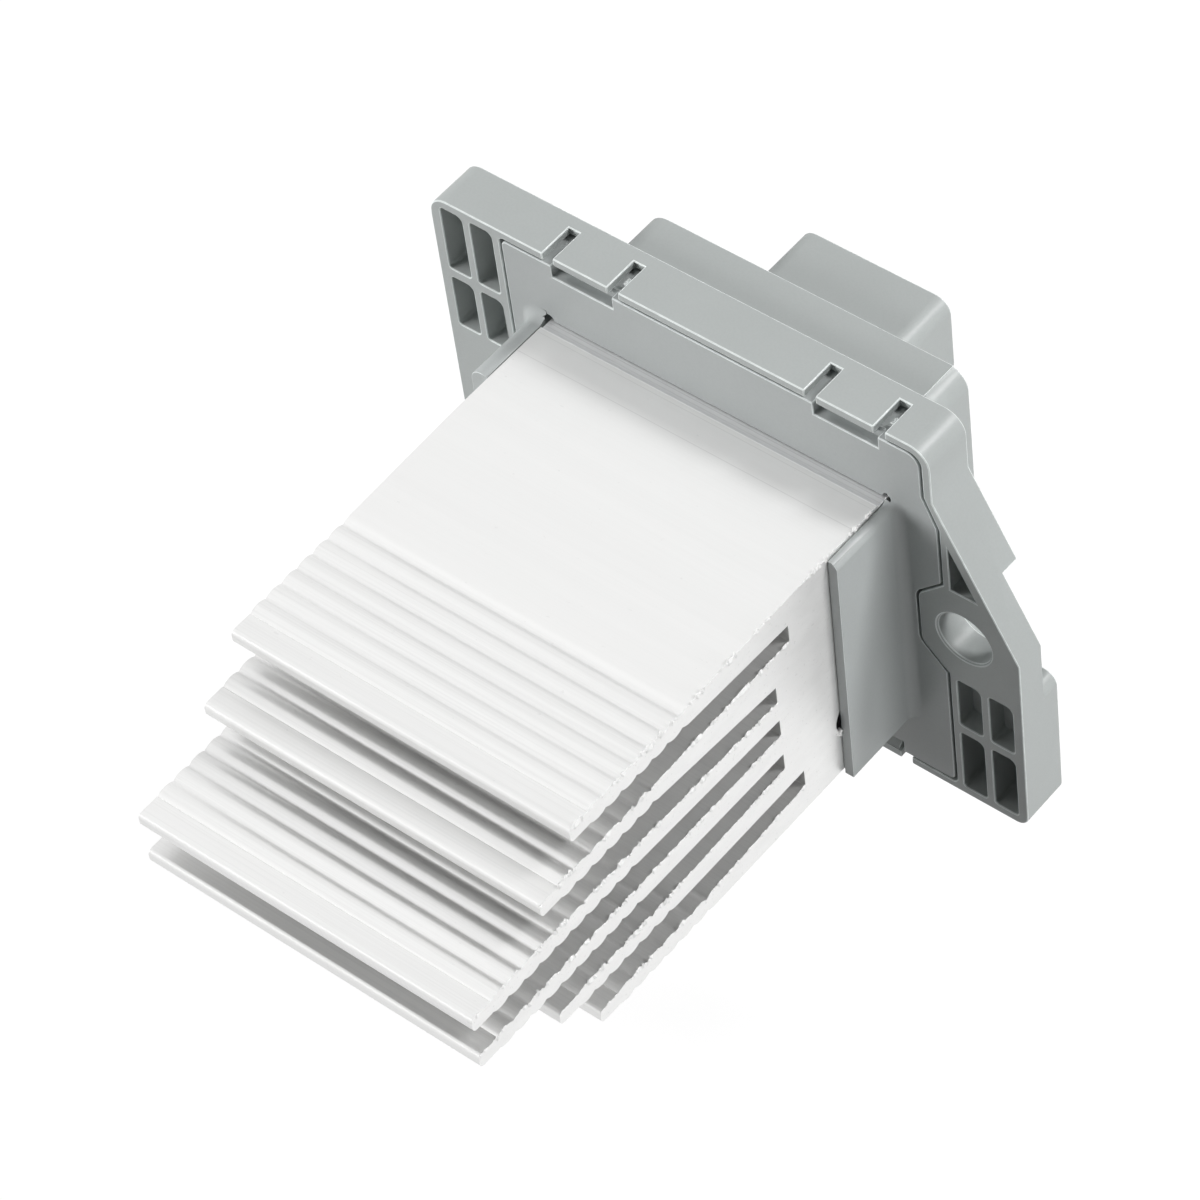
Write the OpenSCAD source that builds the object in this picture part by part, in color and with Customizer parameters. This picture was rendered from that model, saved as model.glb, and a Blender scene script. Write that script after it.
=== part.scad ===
// Blower motor resistor: a finned aluminium heat sink on a moulded carrier plate, snapped into a
// flanged housing that holds the driver electronics and the plug socket.
// Frame: origin at the fixing hole, on the face that the screw head bears on. +X along the flange
// from the heat sink towards the fixing ear, +Y from the fins towards the plug, +Z up. Millimetres.
// Inside the modules, places are given from the middle of the heat sink (X, Z) and from the seat
// face of the flange (Y), and from_hole() moves them to the frame above.

/* [Heat sink] */
// Length of the extrusion between its sawn ends
sink_w = 60; // [54:0.5:70]
// Spacing of the fins at their tips
fin_pitch = 8.16; // [7.8:0.02:9.4]
// Thickness of a fin over the crests of its ridges
fin_t = 3.4; // [2.4:0.1:3.8]
// Depth of the solid base in front of the flange face
sink_base = 22.7; // [20:0.1:28]
// Extra depth of the base behind the three middle slots
core_extra = 3.8; // [1:0.1:6]
// Width of a slot at its inner end
slot_root = 3.4; // [2.8:0.1:4]
// Reach of the two outer fins from the flange face
outer_reach = 69; // [62:0.5:80]
// Reach of the two fins next to them
second_reach = 76.5; // [68:0.5:90]
// Reach of the two middle fins
middle_reach = 92; // [80:0.5:105]
// Spacing of the ridges along a fin
ridge_pitch = 3.25; // [2.8:0.05:3.6]
// Depth of the valleys between the ridges
ridge_depth = 0.55; // [0.3:0.05:0.7]
// Plain length of a fin beyond its last ridge
tip_len = 4; // [3.2:0.1:5.5]
// Fall of the outer faces from the base to the ridges
outer_fall = 0.5; // [0.4:0.1:1.4]
// How far all fins lie below their even spacing
fin_sag = 0.3; // [0:0.05:0.4]
// Step by which the neck at the carrier plate is lower than the base
neck_drop = 0.4; // [0.2:0.05:0.8]
// Length of that neck in front of the flange face
neck_len = 2.1; // [1:0.1:4]
// Radius of the round channel that runs through the base
channel_r = 3.2; // [2:0.1:4]
// Distance of the channel's middle from the flange face
channel_y = 11.8; // [9:0.1:15]
// Height of the channel's middle below the middle of the heat sink
channel_z = 12.4; // [9:0.1:16]

/* [Carrier plate] */
// Thickness of the plate's panel
plate_t = 3; // [2.6:0.1:4]
// Depth of the seat that takes the neck of the heat sink
seat_d = 1.2; // [0.8:0.1:1.6]
// Clearance round the heat sink in its seat
sink_clear = 0.15; // [0.1:0.05:0.3]
// Gap between the plate and the rim of the housing
plate_gap = 0.4; // [0.2:0.05:0.6]
// Thickness of the skirt behind the panel
skirt_t = 1.4; // [1:0.1:2]
// Distance from the end of the heat sink to the plate's left edge
margin_left = 7.5; // [6:0.1:10]
// Distance from the end of the heat sink to the housing's boss
margin_boss = 4.2; // [3.8:0.1:8]
// Distance from the top of the heat sink to the plate's top edge
margin_top = 11.6; // [9:0.1:15]
// How far the bracket walls reach along the ends of the heat sink
bracket_reach = 13.5; // [9:0.1:17]
// How much farther the bracket walls reach at their lower end
bracket_lean = 0.75; // [0:0.05:2]
// Thickness of the right bracket wall
bracket_right = 1.5; // [1.2:0.1:2.4]
// Thickness of the left bracket wall
bracket_left = 3.1; // [2:0.1:4.5]
// Gap between the left end of the heat sink and its bracket wall
left_gap = 0.55; // [0.2:0.05:1]
// How far the bracket walls stay below the top of the heat sink
bracket_drop = 0.5; // [0.2:0.1:2]
// How far the bracket walls reach below the heat sink
bracket_low = 0.9; // [0.5:0.1:3]
// Radius of the fillet between a bracket wall and the plate
bracket_fillet = 2; // [1:0.1:3]

/* [Flange and housing] */
// Depth of the flange's rim
rim_d = 8.4; // [8:0.1:11]
// Thickness of the rim's walls
rim_t = 1.4; // [1.2:0.1:2]
// Thickness of the ledge that the plate rests on
ledge_t = 1.5; // [1.2:0.1:2.2]
// Width of the pocketed block at the left end
block_w = 12.9; // [11:0.1:17]
// Thickness of the ear at the fixing hole
ear_t = 5.1; // [4:0.1:5.8]
// Radius of the fixing hole
fix_r = 4.6; // [3.5:0.05:5]
// Chamfer at the front edge of the fixing hole
fix_chamfer = 0.3; // [0.1:0.05:0.8]
// Distance from the fixing hole to the ear's outer side
ear_edge = 9.5; // [8:0.1:12]
// Distance from the fixing hole to the boss's inner side
boss_edge = 7.65; // [7:0.05:9]
// Half of the straight height of that inner side
boss_half = 5; // [4:0.1:6]
// Radius of the corners at that inner side
boss_r = 2.2; // [0.5:0.1:4]
// Height at which the ear's slanted edge starts
slant_top = 26; // [23:0.5:30]
// Height at which the slanted edge meets the ear's outer side
slant_low = 0.2; // [-3:0.1:4]
// Radius of the rounded upper corner by the slanted edge
shoulder_r = 3.5; // [2:0.1:5]
// Radius of the flange's two left corners
corner_r = 3.2; // [1:0.1:4]
// Radius of the ear's lower corner
ear_corner_r = 2.2; // [1:0.1:4]
// Width of a wall between two pockets
pocket_rib = 1.4; // [1:0.1:2]
// Height of the pockets next to the flange's edge
pocket_tall = 12.4; // [10:0.1:13.5]
// Height of the other pockets
pocket_short = 10; // [8:0.1:11]
// Depth of the deep pockets
pocket_d = 6.9; // [4:0.1:7.1]
// Depth of the pockets over the thin part of the ear
pocket_thin = 3.3; // [2:0.1:3.4]

/* [Snap tabs] */
// Width of a snap tab
tab_w = 9.85; // [8:0.05:12]
// Distance between the middles of the two tabs on a side
tab_span = 46.5; // [40:0.5:52]
// Width of the slots beside a tab
tab_slot = 1.95; // [1.4:0.05:2.4]
// Depth of those slots
tab_d = 6.1; // [4.5:0.1:6.6]
// Height of the barb under a tab
barb_h = 1.2; // [0.8:0.1:1.6]
// Depth of the notch in the plate that takes the barb
notch_d = 1.8; // [1.6:0.1:2.2]

/* [Rear box and socket] */
// Width of the rear box
box_w = 56.1; // [50:0.1:60]
// Offset of the rear box from the middle of the heat sink
box_x = 3.55; // [2:0.05:5.5]
// Width of the ledge between the rear box and the rim, above and below
box_ledge = 3; // [2.8:0.1:4.5]
// Distance of the rear box's back from the flange face
box_back = 17.25; // [16.8:0.05:22]
// Thickness of the rear box's walls
box_t = 1.5; // [1.2:0.1:2]
// Thickness of the rear box's back wall
back_t = 1.8; // [1.5:0.1:2.2]
// Radius of the rear box's corners
box_r = 3.6; // [1.7:0.1:4.4]
// How far the rear box's flat top runs past the start of its right corner
box_lip = 1.2; // [0:0.1:1.4]
// Width of the plug socket
socket_w = 26.1; // [24:0.1:30]
// Height of the plug socket
socket_h = 15; // [13:0.1:18]
// Length of the plug socket
socket_len = 12.8; // [11:0.1:18]
// Offset of the socket from the middle of the rear box
socket_x = 2.3; // [-2:0.05:5]
// Distance from the top of the rear box to the top of the socket
socket_drop = 4.6; // [3.5:0.1:8]
// Thickness of the socket's walls
socket_t = 1.5; // [1.2:0.1:1.8]
// Radius of the socket's corners
socket_r = 2.6; // [1.9:0.1:3]

/* [Electronics] */
// Distance of the circuit board's front from the flange face
board_y = 12; // [11.8:0.05:12.3]
// Thickness of the circuit board
board_t = 1.6; // [1.2:0.1:1.6]
// Clearance between the board's edge and the rear box
board_clear = 0.9; // [0.5:0.1:1.5]
// Inset of the board's screws from its edges
post_inset = 4; // [3.6:0.1:6]
// Radius of the posts that carry the board
post_r = 3; // [2.6:0.1:3.4]
// Thickness of the thermal pad
pad_t = 0.3; // [0.2:0.05:0.5]
// Width of the power transistor
power_w = 15.9; // [15:0.1:17]
// Height of the power transistor
power_h = 20.8; // [19:0.1:22]
// Thickness of the power transistor
power_t = 5; // [4.6:0.1:5.4]
// Spacing of the transistor's leads
lead_pitch = 5.45; // [5:0.05:5.6]
// Spacing of the blades in the plug socket
blade_pitch = 5.5; // [5:0.05:5.8]
// Width of the three power blades
blade_w = 4.8; // [4:0.1:5.4]
// Width of the signal blade
signal_w = 2.8; // [2:0.1:4]
// Thickness of the blades
blade_t = 0.8; // [0.6:0.1:1]
// Distance of the blade tips from the socket's mouth
blade_short = 4.5; // [3:0.1:6]
// Radius of the electrolytic capacitor
can_r = 4; // [3.4:0.1:4.2]
// Length of the electrolytic capacitor
can_len = 12; // [10:0.5:14]
// Radius of the surge diode
diode_r = 2.6; // [2:0.1:3]
// Length of the surge diode
diode_len = 9.5; // [7:0.5:11]
// Radius of the thermal fuse
fuse_r = 2; // [1.5:0.1:2.4]
// Length of the thermal fuse
fuse_len = 11; // [8:0.5:13]

/* [Hidden] */
$fn = 48;

// Overlap that a cut runs past a face, and that joined solids share
over = 0.5;
half_angle_45 = tan(22.5);

// Heat sink: fins are counted from the top, slots likewise
fin_count = 6;
sink_h = (fin_count - 1) * fin_pitch + fin_t + 2 * outer_fall;
sink_top = sink_h / 2;
fin_reach = [outer_reach, second_reach, middle_reach, middle_reach, second_reach, outer_reach];
fin_ridges = [6, 6, 9, 9, 6, 6];
// Offset of each slot's inner end from the middle of its mouth, from the top slot down
lean_1 = -0.5;
lean_2 = -1.9;
lean_3 = -0.8;
lean_4 = -0.15;
lean_5 = 0.3;
slot_lean = [lean_1, lean_2, lean_3, lean_4, lean_5];
ridge_r = (pow(ridge_pitch / 2, 2) + pow(ridge_depth, 2)) / (2 * ridge_depth);
// Height by which the ridges' arcs run past the fin's face, so that each crest is cut cleanly
crest_over = 0.01;
// A fin's tip lies a little above the ridges' valleys
tip_half = fin_t / 2 - 0.8 * ridge_depth;
nose_flat = 0.2;
nose_r = min(0.8, tip_half - nose_flat / 2);
neck_top = sink_top - neck_drop;
sink_end = sink_w / 2;

// Carrier plate and the rim round it
plate_left = -sink_end - margin_left;
plate_top = sink_top + margin_top;
boss_x = sink_end + margin_boss;
fix_x = boss_x + boss_edge;
side_step = 4.6;
side_x = boss_x + side_step;
shoulder_in = 2.3;
rim_in_left = plate_left - plate_gap;
rim_in_top = plate_top + plate_gap;
rim_in_shoulder = side_x - shoulder_in;
rim_left = rim_in_left - block_w;
rim_top = rim_in_top + rim_t;
shoulder_x = rim_in_shoulder + rim_t;
ear_x = fix_x + ear_edge;
ledge_y = rim_d - ledge_t;
// Slanted stretch of the gap by the shoulder
jog_top = slant_top + 0.4;
jog_low = jog_top - 5.3;
jog_half = tan(atan(shoulder_in / (jog_top - jog_low)) / 2);
plate_corner = 1;
// Flat strip left between a bracket's fillet and the plate's edge
fillet_room = 0.35;
plate_shoulder_r = shoulder_r - rim_t;

// Shift of the snap tabs from the middle of the heat sink
tab_shift = 0.4;

// Pockets: walls towards the flange's edges and between the two rows
edge_left = 1.9;
edge_right = 1.7;
edge_top = 1.6;
row_rib = 1.8;

// Ear: the back of its thin part, between the slanted wall's step and the full-depth block
thin_top = 11.6;
thin_low = -9.6;
block_r = 2.2;
ear_rib = 1.2;
pocket_round = 1.2;
pocket_edge = 0.6;

// Rear box, socket and board
box_left = box_x - box_w / 2;
box_right = box_x + box_w / 2;
box_top = rim_top - box_ledge;
box_in_back = box_back - back_t;
socket_mid = box_x + socket_x;
socket_top = box_top - socket_drop;
socket_z = socket_top - socket_h / 2;
socket_end = box_back + socket_len;
board_left = box_left + box_t + board_clear;
board_right = box_right - box_t - board_clear;
board_top = box_top - box_t - board_clear;
board_back = board_y + board_t;
// The board's corners run along the rear box's inner corners
board_corner = max(0.5, box_r - box_t - board_clear);
hole_clear = 0.15;
tail_out = 1.5;

// Power transistor
power_x = box_x;
power_z = 2;
power_front = seat_d + pad_t;
frame_t = 2;
frame_margin = 1;
hole_drop = 6.1;
power_hole_z = power_z + power_h / 2 - hole_drop;
power_hole_r = 1.8;
lead_w = 1.2;
lead_t = 0.6;
lead_y = power_front + 2.4;
lead_run = 4;
lead_sunk = 3;
lead_z = power_z - power_h / 2 - lead_run;
window_clear = 0.8;

// Screws
m3_r = 1.4;
m3_head_r = 2.75;
m3_head_h = 2;
m4_r = 1.9;
m4_head_r = 3.6;
m4_head_h = 2.6;
tap_depth = 9;
tap_clear = 0.1;
sink_screw_x = 23;
board_screw_r = 1.2;
board_head_r = 2.5;
board_head_h = 1.3;
board_screw_len = 6;

// Small parts on the board's front
wire_r = 0.35;
bend_out = 2;
can_in = 7.5;
can_x = board_left + can_in;
can_z = -1;
diode_in = 7.5;
diode_x = board_right - diode_in;
diode_z = -14;
fuse_x = power_x;
fuse_z = lead_z - 6.5;
chip_in = 10.5;
chip_x = board_left + chip_in;
chip_z = 15;
chip_w = 8.7;
chip_h = 3.9;
chip_t = 1.5;
chip_leg_pitch = 1.27;
chip_leg_n = 7;
chip_leg_w = 0.42;
chip_leg_t = 0.25;
chip_leg_out = 1;
chip_lift = 0.15;
strip_in = 7.5;
strip_x = board_right - strip_in;
strip_z = 7;
strip_len = 11;
strip_w = 3;
strip_t = 0.8;
strip_rise = 3;
flat_len = 3.2;
flat_w = 1.6;
flat_t = 0.6;
flat_pitch = 2.6;
flat_gap = 3;
block_len = 3.2;
block_h = 2.5;
block_t = 1.6;
block_pitch = 4;
block_edge = 6;
block_gap = 0.3;
block_z = socket_z - max(blade_w, signal_w) / 2 - block_gap - block_len / 2;

plastic = "#a9b0af";
metal = "#e6e7e6";

function slot_mid(i) = (fin_count / 2 - 1 - i) * fin_pitch + slot_lean[i];
function slot_depth(i) = (i > 0 && i < fin_count - 2) ? sink_base + core_extra : sink_base;
function fin_mid(i) = ((fin_count - 1) / 2 - i) * fin_pitch - fin_sag;
function root_top(i) = i == 0 ? sink_top : slot_mid(i - 1) - slot_root / 2;
function tip_start(i) = fin_reach[i] - tip_len;
function first_valley(i) = tip_start(i) - fin_ridges[i] * ridge_pitch;
function root_low(i) = i == fin_count - 1 ? -sink_top : slot_mid(i) + slot_root / 2;

// Moves a piece from the heat sink's middle and the flange face to the fixing hole
module from_hole() {
    translate([-fix_x, -ear_t, 0]) children();
}

// A flat outline in X and Z, made solid between two distances from the flange face
module slab(front, back) {
    translate([0, back, 0]) rotate([90, 0, 0]) linear_extrude(height = back - front) children();
}

// A round bar or hole along Y between two distances from the flange face
module rod(x, z, r, front, back) {
    translate([x, back, z]) rotate([90, 0, 0]) cylinder(r = r, h = back - front);
}

// A block given by its low and high corners
module block(low, high) {
    translate(low) cube(high - low);
}

// What is cut from a corner at the origin to round it, the material lying towards -X and -Z
module corner_cut(r) {
    difference() {
        translate([-r, -r]) square(r + over);
        translate([-r, -r]) circle(r);
    }
}

// A rectangle with the given corner radius
module round_rect(low, high, r) {
    difference() {
        translate(low) square(high - low);
        translate(high) corner_cut(r);
        translate([low[0], high[1]]) mirror([1, 0]) corner_cut(r);
        translate(low) rotate(180) corner_cut(r);
        translate([high[0], low[1]]) mirror([0, 1]) corner_cut(r);
    }
}

// Heat sink: its section has X outwards from the flange face and Y up

// One fin's corners, from the root above it round its tip to the root below it
function fin_corners(i) = [
    [slot_depth(i - 1), root_top(i)],
    [first_valley(i) - ridge_pitch / 2, fin_mid(i) + fin_t / 2],
    [tip_start(i), fin_mid(i) + fin_t / 2],
    [tip_start(i), fin_mid(i) + tip_half],
    [fin_reach[i], fin_mid(i) + tip_half],
    [fin_reach[i], fin_mid(i) - tip_half],
    [tip_start(i), fin_mid(i) - tip_half],
    [tip_start(i), fin_mid(i) - fin_t / 2],
    [first_valley(i) - ridge_pitch / 2, fin_mid(i) - fin_t / 2],
    [slot_depth(i), root_low(i)]
];

// What is cut between the ridges on a fin's upper face, from the fin's middle line up
module valleys(ridges) {
    difference() {
        translate([-ridge_pitch / 2, 0]) square([(ridges + 1) * ridge_pitch, fin_t / 2 + over]);
        for (k = [-1 : ridges]) {
            translate([(k + 0.5) * ridge_pitch, fin_t / 2 - ridge_r + crest_over]) circle(ridge_r);
        }
    }
}

// The extrusion's whole section
module sink_section() {
    difference() {
        polygon(concat(
            [[-seat_d, neck_top], [neck_len, neck_top], [neck_len, sink_top]],
            [for (i = [0 : fin_count - 1]) each fin_corners(i)],
            [[neck_len, -sink_top], [neck_len, -neck_top], [-seat_d, -neck_top]]
        ));
        for (i = [0 : fin_count - 1], side = [0, 1]) {
            translate([0, fin_mid(i)]) mirror([0, side]) {
                translate([first_valley(i), 0]) valleys(fin_ridges[i]);
                translate([fin_reach[i], tip_half]) corner_cut(nose_r);
            }
        }
        translate([channel_y, -channel_z]) circle(channel_r);
    }
}

module heat_sink() {
    color(metal) from_hole() difference() {
        translate([sink_end, 0, 0]) rotate([90, 0, -90]) linear_extrude(height = sink_w)
            sink_section();
        for (side = [-1, 1]) {
            rod(side * sink_screw_x, 0, m4_r + tap_clear, seat_d - tap_depth, seat_d + over);
        }
        rod(power_x, power_hole_z, m3_r + tap_clear, seat_d - tap_depth, seat_d + over);
    }
}

// Carrier plate

// The plate's outline, drawn in by a distance
module plate_outline(inset) {
    left = plate_left + inset;
    top = plate_top - inset;
    shoulder = rim_in_shoulder - plate_gap - inset;
    side = side_x - plate_gap - inset;
    boss = boss_x - plate_gap - inset;
    jog = jog_half * (inset + plate_gap);
    flat = boss_half + half_angle_45 * (inset + plate_gap);
    turn_r = boss_r + plate_gap + inset;
    turn = half_angle_45 * turn_r;
    low_side = [side, -top];
    difference() {
        polygon([
            [left, top],
            [shoulder, top],
            [shoulder, jog_top - jog],
            [side, jog_low - jog],
            [side, flat + side_step],
            [boss + turn * cos(45), flat + turn * sin(45)],
            [boss, flat - turn],
            [boss, turn - flat],
            [boss + turn * cos(45), -flat - turn * sin(45)],
            [side, -flat - side_step],
            low_side,
            [left, -top]
        ]);
        for (end = [-1, 1]) {
            translate([boss + turn_r, end * (flat - turn)]) circle(turn_r);
        }
        translate([shoulder, top]) corner_cut(plate_shoulder_r);
        translate([left, top]) mirror([1, 0]) corner_cut(plate_corner);
        translate([left, -top]) rotate(180) corner_cut(plate_corner);
        translate(low_side) mirror([0, 1]) corner_cut(plate_corner);
    }
}

// One bracket wall beside the heat sink, for the right-hand end, with its fillet at the plate,
// which stays within the plate's margin there
module bracket(thick, gap, margin) {
    fillet = min(bracket_fillet, margin - gap - thick - fillet_room);
    inner = sink_end + gap;
    outer = inner + thick;
    high = sink_top - bracket_drop;
    low = -sink_top - bracket_low;
    round_r = min(thick - 0.1, 1.9);
    slope = bracket_lean / (high - low);
    far = -bracket_reach - bracket_lean - 2 * over;
    difference() {
        slab(far + over, over) difference() {
            translate([inner, low]) square([thick, high - low]);
            translate([outer, high]) corner_cut(round_r);
        }
        translate([inner - over, 0, 0]) rotate([90, 0, 90]) linear_extrude(height = thick + 2 * over)
            polygon([
                [slope * over - bracket_reach, high + over],
                [-bracket_reach - bracket_lean - slope * over, low - over],
                [far, low - over],
                [far, high + over]
            ]);
    }
    translate([outer, 0, low]) linear_extrude(height = high - round_r - low) fillet_section(fillet);
    translate([outer - round_r, 0, high - round_r]) rotate([90, 0, 0]) rotate_extrude(angle = 90)
        translate([round_r, 0]) mirror([0, 1]) fillet_section(fillet);
    translate([inner, 0, high]) rotate([90, 0, 90]) linear_extrude(height = thick - round_r)
        mirror([1, -1]) fillet_section(fillet);
}

// The section of a fillet, with the wall towards -X and the plate towards +Y
module fillet_section(r) {
    difference() {
        translate([-over, -r]) square([r + over, r + over]);
        translate([r, -r]) circle(r);
    }
}

// The middles of the snap tabs along X
function tab_x(side) = side * tab_span / 2 + tab_shift;

module carrier_plate() {
    seat_half = sink_end + sink_clear;
    seat_top = neck_top + sink_clear;
    notch_w = tab_w + 1.2;
    notch_h = barb_h + 1;
    relief_r = 0.9;
    window_x = power_w / 2 + window_clear;
    color(plastic) from_hole() difference() {
        union() {
            slab(0, plate_t) plate_outline(0);
            slab(plate_t - over, ledge_y) difference() {
                plate_outline(0);
                plate_outline(skirt_t);
            }
            bracket(bracket_right, sink_clear, margin_boss - plate_gap);
            mirror([1, 0, 0]) bracket(bracket_left, left_gap, margin_left);
            board_places() rod(0, 0, post_r, plate_t - over, board_y);
        }
        block([-seat_half, -over, -seat_top], [seat_half, seat_d, seat_top]);
        for (end = [-1, 1]) {
            for (level = [-1, 1]) {
                rod(end * seat_half, level * seat_top, relief_r, -over, seat_d + over);
                translate([tab_x(end), 0, level * plate_top])
                    block([-notch_w / 2, -over, -notch_h], [notch_w / 2, notch_d, notch_h]);
            }
            rod(end * sink_screw_x, 0, m4_r + 0.3, -over, plate_t + over);
        }
        block([power_x - window_x, -over, lead_z - window_clear],
            [power_x + window_x, plate_t + over, power_z + power_h / 2 + window_clear]);
        board_places() rod(0, 0, board_screw_r + tap_clear, board_y - board_screw_len, board_y + over);
    }
}

// The four places where the board is screwed to its posts
module board_places() {
    for (x = [board_left + post_inset, board_right - post_inset]) {
        for (z = [-board_top + post_inset, board_top - post_inset]) {
            translate([x, 0, z]) children();
        }
    }
}

// Housing

// The flange's outline
module rim_outline() {
    difference() {
        polygon([
            [rim_left, rim_top],
            [shoulder_x, rim_top],
            [shoulder_x, slant_top],
            [ear_x, slant_low],
            [ear_x, -rim_top],
            [rim_left, -rim_top]
        ]);
        translate([shoulder_x, rim_top]) corner_cut(shoulder_r);
        translate([rim_left, rim_top]) mirror([1, 0]) corner_cut(corner_r);
        translate([rim_left, -rim_top]) rotate(180) corner_cut(corner_r);
        translate([ear_x, -rim_top]) mirror([0, 1]) corner_cut(ear_corner_r);
    }
}

// A pocket's outline, with its upper right corner rounded most
module pocket(low, high) {
    difference() {
        translate(low) square(high - low);
        translate(high) corner_cut(pocket_round);
        translate([low[0], high[1]]) mirror([1, 0]) corner_cut(pocket_edge);
        translate(low) rotate(180) corner_cut(pocket_edge);
        translate([high[0], low[1]]) mirror([0, 1]) corner_cut(pocket_edge);
    }
}

// Two rows of two pockets, the tall row towards the flange's upper edge
module pocket_group(left, right, rows) {
    mid = (left + right) / 2;
    for (row = rows) {
        pocket([left, row[0]], [mid - pocket_rib / 2, row[1]]);
        pocket([mid + pocket_rib / 2, row[0]], [right, row[1]]);
    }
}

// Heights of the two pocket rows, from the flange's edge towards its middle
tall_high = rim_top - edge_top;
tall_low = tall_high - pocket_tall;
short_high = tall_low - row_rib;
short_low = short_high - pocket_short;

// The three-cornered pocket inside the slanted edge
module slant_pocket() {
    slope = (ear_x - shoulder_x) / (slant_top - slant_low);
    low = boss_half + side_step - 0.2;
    left = side_x + ear_rib;
    wall = 2.1;
    right = shoulder_x + (slant_top - low) * slope - wall;
    polygon([[left, low], [right, low], [left, low + (right - left) / slope]]);
}

// The thin part of the ear behind the boss, drawn in from the boss's sides
module thin_outline() {
    left = boss_x + rim_t;
    flat = boss_half - half_angle_45 * rim_t;
    side = side_x + rim_t;
    out = ear_x + over;
    polygon([
        [left, -flat],
        [left, flat],
        [side, flat + side_step],
        [side, thin_top],
        [out, thin_top],
        [out, thin_low],
        [side, thin_low],
        [side, -flat - side_step]
    ]);
}

// Slots that free a snap tab in the upper wall, and the barb below it
module tab_slots() {
    for (side = [-1, 1]) {
        translate([side * (tab_w + tab_slot) / 2, 0, rim_top])
            block([-tab_slot / 2, -over, -rim_t - plate_gap - over], [tab_slot / 2, tab_d, over]);
    }
}

module tab_barb() {
    barb_w = tab_w - 1;
    barb_y = notch_d - 0.2;
    translate([barb_w / 2, 0, rim_in_top]) rotate([90, 0, -90]) linear_extrude(height = barb_w)
        polygon([[-0.2, over], [-barb_y, over], [-barb_y, -barb_h], [-barb_y + 0.3, -barb_h], [-0.2, 0]]);
}

module both_sides() {
    for (side = [-1, 1]) {
        translate([tab_x(side), 0, 0]) children();
        translate([tab_x(side), 0, 0]) mirror([0, 0, 1]) children();
    }
}

// The plug socket's shell, its latch ramp below and the slots for its blades
module socket_shell() {
    low = [socket_mid - socket_w / 2, socket_z - socket_h / 2];
    high = [socket_mid + socket_w / 2, socket_z + socket_h / 2];
    slab(box_back - over, socket_end) round_rect(low, high, socket_r);
    ramp_w = 6;
    ramp_h = 1.2;
    translate([socket_mid + ramp_w / 2, socket_end, low[1]]) rotate([90, 0, -90])
        linear_extrude(height = ramp_w)
        polygon([[1.5, over], [1.5, 0], [4.5, -ramp_h], [5, -ramp_h], [5, over]]);
}

module socket_cavity() {
    inset = [socket_t, socket_t];
    low = [socket_mid - socket_w / 2, socket_z - socket_h / 2] + inset;
    high = [socket_mid + socket_w / 2, socket_z + socket_h / 2] - inset;
    slab(box_back, socket_end + over) round_rect(low, high, socket_r - socket_t);
}

// The rear box's inside
module box_inside() {
    corner = [box_right - box_t, box_top - box_t];
    round_rect([box_left + box_t, -corner[1]], corner, box_r - box_t);
}

// The rear box's outside, whose flat top overhangs the rounding of its right corner a little
module box_outside() {
    difference() {
        translate([box_left, -box_top]) square([box_w, 2 * box_top]);
        translate([box_right, box_top]) difference() {
            corner_cut(box_r);
            translate([-box_r - over, -box_r]) square([box_lip + over, box_r + 2 * over]);
        }
        translate([box_left, box_top]) mirror([1, 0]) corner_cut(box_r);
        translate([box_left, -box_top]) rotate(180) corner_cut(box_r);
        translate([box_right, -box_top]) mirror([0, 1]) corner_cut(box_r);
    }
}

module housing() {
    left_in = rim_in_left - pocket_rib;
    left_out = rim_left + edge_left;
    right_in = side_x + ear_rib;
    right_out = ear_x - edge_right;
    high_rows = [[tall_low, tall_high], [short_low, short_high]];
    low_rows = [[-tall_high, -tall_low], [-short_high, -short_low]];
    color(plastic) from_hole() {
        difference() {
            union() {
                slab(0, rim_d) rim_outline();
                slab(rim_d - over, box_back) box_outside();
                socket_shell();
            }
            slab(-over, ledge_y) plate_outline(-plate_gap);
            slab(ledge_y - over, box_in_back) box_inside();
            socket_cavity();
            slab(-over, pocket_d) pocket_group(left_out, left_in, concat(high_rows, low_rows));
            slab(-over, pocket_d) pocket_group(right_in, right_out, [low_rows[0]]);
            slab(-over, pocket_thin) pocket_group(right_in, right_out, [low_rows[1]]);
            slab(-over, pocket_thin) slant_pocket();
            slab(rim_d - pocket_d + over, rim_d + over) translate([left_out, -short_low + pocket_rib])
                square([left_in - left_out, 2 * (short_low - pocket_rib)]);
            slab(ear_t, rim_d + over) thin_outline();
            slab(ear_t, rim_d + over) translate([ear_x, thin_low]) corner_cut(block_r);
            rod(fix_x, 0, fix_r, -over, ear_t + over);
            translate([fix_x, fix_chamfer, 0]) rotate([90, 0, 0])
                cylinder(r1 = fix_r, r2 = fix_r + fix_chamfer, h = fix_chamfer);
            both_sides() tab_slots();
            for (i = [0 : 3]) blade_slot(i);
        }
        both_sides() tab_barb();
    }
}

// Fasteners

// A pan-head screw along -Y, its head bearing on the given distance from the flange face
module pan_screw(x, z, shank_r, head_r, head_h, seat, reach) {
    rod(x, z, shank_r, seat - reach, seat + over);
    difference() {
        rod(x, z, head_r, seat, seat + head_h);
        rod(x, z, head_r * 0.4, seat + head_h * 0.5, seat + head_h + over);
    }
}

module sink_screws() {
    color("#8f9294") from_hole() for (side = [-1, 1]) {
        pan_screw(side * sink_screw_x, 0, m4_r, m4_head_r, m4_head_h, plate_t, plate_t + tap_depth - 2);
    }
}

module transistor_screw() {
    seat = power_front + power_t;
    color("#8f9294") from_hole()
        pan_screw(power_x, power_hole_z, m3_r, m3_head_r, m3_head_h, seat, power_t + tap_depth - 2);
}

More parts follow.
